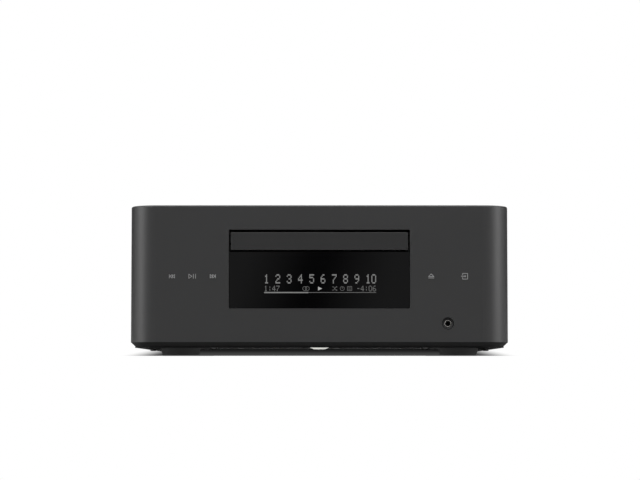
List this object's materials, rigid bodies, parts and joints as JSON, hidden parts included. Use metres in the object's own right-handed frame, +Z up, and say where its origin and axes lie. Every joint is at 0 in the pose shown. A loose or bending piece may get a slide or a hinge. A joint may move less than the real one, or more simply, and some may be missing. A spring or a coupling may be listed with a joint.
{
  "type": "mini hi-fi system",
  "caption": "Compact one-box disc receiver with a front disc tray, display window, touch keys, headphone jack and rear terminals.",
  "frame": {"origin": "on the table under the middle of the whole set, terminals included", "axes": "+Z up, the front faces -Y, +X to the right seen from the front"},
  "size_m": [0.28, 0.303, 0.111],
  "materials": {
    "shell_moulding": "fine satin charcoal moulding",
    "skirt_moulding": "fine textured black moulding",
    "gloss_top": "polished black acrylic sheet",
    "black_steel": "powder coated steel",
    "dark_screw": "black zinc",
    "inner_moulding": "matt black moulding",
    "window_black": "polished smoked window",
    "display_panel": "display glass",
    "circuit_board": "green solder resist",
    "door_moulding": "fine satin charcoal moulding",
    "jack_ring": "black moulding",
    "nickel": "nickel plate",
    "light_guide": "clear frosted light guide",
    "tray_moulding": "matt black moulding",
    "nylon": "natural acetal",
    "brass_pulley": "turned brass",
    "belt_rubber": "black rubber",
    "motor_steel": "drawn steel can",
    "mechanism_moulding": "glass filled moulding",
    "zinc_steel": "zinc plated steel",
    "grommet_rubber": "soft rubber",
    "bright_steel": "ground steel",
    "pickup_casting": "die casting",
    "lens_glass": "coated lens",
    "ferrite": "ferrite and yellow tape",
    "sink_aluminium": "extruded",
    "terminal_moulding": "black moulding",
    "gold_plate": "gold plate",
    "cap_red": "red translucent cap",
    "cap_black": "black cap",
    "phono_plate": "gold plate on a black block",
    "socket_shell": "tin plate",
    "foot_rubber": "moulded rubber"
  },
  "bodies": {
    "cabinet": {"front_fascia": "shell_moulding", "side_panel_left": "shell_moulding", "side_panel_right": "shell_moulding", "top_cover": "black_steel", "top_plate": "gloss_top", "base_skirt": "skirt_moulding", "base_chassis": "black_steel", "rear_panel": "black_steel", "case_screws": "dark_screw", "window_frame": "inner_moulding", "display_window": "window_black", "display_module": "display_panel", "display_board": "circuit_board", "touch_board_left": "circuit_board", "touch_board_right": "circuit_board", "headphone_ring": "jack_ring", "headphone_jack": "nickel", "indicator_lens": "light_guide", "drive_belt": "belt_rubber", "loading_motor": "motor_steel", "loader_frame": "mechanism_moulding", "clamp_bridge": "zinc_steel", "main_board": "circuit_board", "power_board": "circuit_board", "transformer": "ferrite", "amplifier_board": "circuit_board", "heat_sink": "sink_aluminium", "speaker_terminal_block": "terminal_moulding", "terminal_posts": "gold_plate", "phono_jacks": "phono_plate", "optical_input": "terminal_moulding", "network_socket": "socket_shell", "usb_socket": "socket_shell", "aerial_socket": "socket_shell", "mains_inlet": "terminal_moulding", "foot_front_left": "foot_rubber", "foot_front_right": "foot_rubber", "foot_rear_left": "foot_rubber", "foot_rear_right": "foot_rubber"},
    "tray": {"disc_tray": "tray_moulding", "tray_door": "door_moulding"},
    "tray_gear": {"tray_gear": "nylon"},
    "pulley_gear": {"pulley_gear": "nylon"},
    "motor_pulley": {"motor_pulley": "brass_pulley"},
    "lift_deck": {"lift_frame": "mechanism_moulding", "deck_grommets": "grommet_rubber", "pickup_base": "mechanism_moulding", "spindle_motor": "motor_steel", "guide_rods": "bright_steel", "sled_motor": "motor_steel"},
    "cam_slider": {"cam_slider": "nylon"},
    "turntable": {"turntable": "mechanism_moulding"},
    "clamp_puck": {"clamp_puck": "mechanism_moulding"},
    "pickup": {"pickup_sled": "pickup_casting", "pickup_lens": "lens_glass"},
    "sled_screw": {"sled_screw": "bright_steel"},
    "terminal_cap_1": {"terminal_cap_1": "cap_red"},
    "terminal_cap_2": {"terminal_cap_2": "cap_black"},
    "terminal_cap_3": {"terminal_cap_3": "cap_red"},
    "terminal_cap_4": {"terminal_cap_4": "cap_black"}
  },
  "joints": [
    {"name": "tray_slide", "type": "slide", "parent": "cabinet", "child": "tray", "axis": [0, -1, 0], "range_m": [0, 0.135]},
    {"name": "tray_gear_turn", "type": "hinge", "parent": "cabinet", "child": "tray_gear", "pos_m": [0.04, -0.129, 0.0788], "axis": [0, 0, 1], "range_deg": [-646, 1]},
    {"name": "pulley_gear_turn", "type": "hinge", "parent": "cabinet", "child": "pulley_gear", "pos_m": [0.0208, -0.129, 0.076], "axis": [0, 0, 1], "range_deg": [-1, 1076]},
    {"name": "motor_pulley_turn", "type": "hinge", "parent": "cabinet", "child": "motor_pulley", "pos_m": [-0.04, -0.129, 0.075], "axis": [0, 0, 1], "range_deg": [-1, 4235]},
    {"name": "deck_lift", "type": "hinge", "parent": "cabinet", "child": "lift_deck", "pos_m": [0, 0.02, 0.068], "axis": [1, 0, 0], "range_deg": [0, 5]},
    {"name": "cam_slide", "type": "slide", "parent": "cabinet", "child": "cam_slider", "axis": [1, 0, 0], "range_m": [0, 0.0221]},
    {"name": "turntable_spin", "type": "hinge", "parent": "lift_deck", "child": "turntable", "pos_m": [0, -0.08, 0.084], "axis": [0, 0, 1], "continuous": true},
    {"name": "puck_spin", "type": "hinge", "parent": "cabinet", "child": "clamp_puck", "pos_m": [0, -0.08, 0.094], "axis": [0, 0, 1], "continuous": true},
    {"name": "sled_slide", "type": "slide", "parent": "lift_deck", "child": "pickup", "axis": [0, 1, 0], "range_m": [0, 0.034]},
    {"name": "sled_screw_turn", "type": "hinge", "parent": "lift_deck", "child": "sled_screw", "pos_m": [0.03, -0.03, 0.067], "axis": [0, 1, 0], "range_deg": [-1, 4082]},
    {"name": "cap_1_turn", "type": "hinge", "parent": "cabinet", "child": "terminal_cap_1", "pos_m": [0.1095, 0.14, 0.0595], "axis": [0, 1, 0], "range_deg": [-1800, 0]},
    {"name": "cap_2_turn", "type": "hinge", "parent": "cabinet", "child": "terminal_cap_2", "pos_m": [0.0905, 0.14, 0.0595], "axis": [0, 1, 0], "range_deg": [-1800, 0]},
    {"name": "cap_3_turn", "type": "hinge", "parent": "cabinet", "child": "terminal_cap_3", "pos_m": [0.1095, 0.14, 0.0405], "axis": [0, 1, 0], "range_deg": [-1800, 0]},
    {"name": "cap_4_turn", "type": "hinge", "parent": "cabinet", "child": "terminal_cap_4", "pos_m": [0.0905, 0.14, 0.0405], "axis": [0, 1, 0], "range_deg": [-1800, 0]}
  ],
  "couplings": [
    {"joint": "tray_gear_turn", "follows": "tray_slide", "rad_per_m": -83.333},
    {"joint": "pulley_gear_turn", "follows": "tray_slide", "rad_per_m": 138.89},
    {"joint": "motor_pulley_turn", "follows": "tray_slide", "rad_per_m": 547.39},
    {"joint": "cam_slide", "follows": "deck_lift", "m_per_rad": 0.2521},
    {"joint": "puck_spin", "follows": "turntable_spin", "ratio": 1},
    {"joint": "sled_screw_turn", "follows": "sled_slide", "rad_per_m": 2094.4}
  ]
}
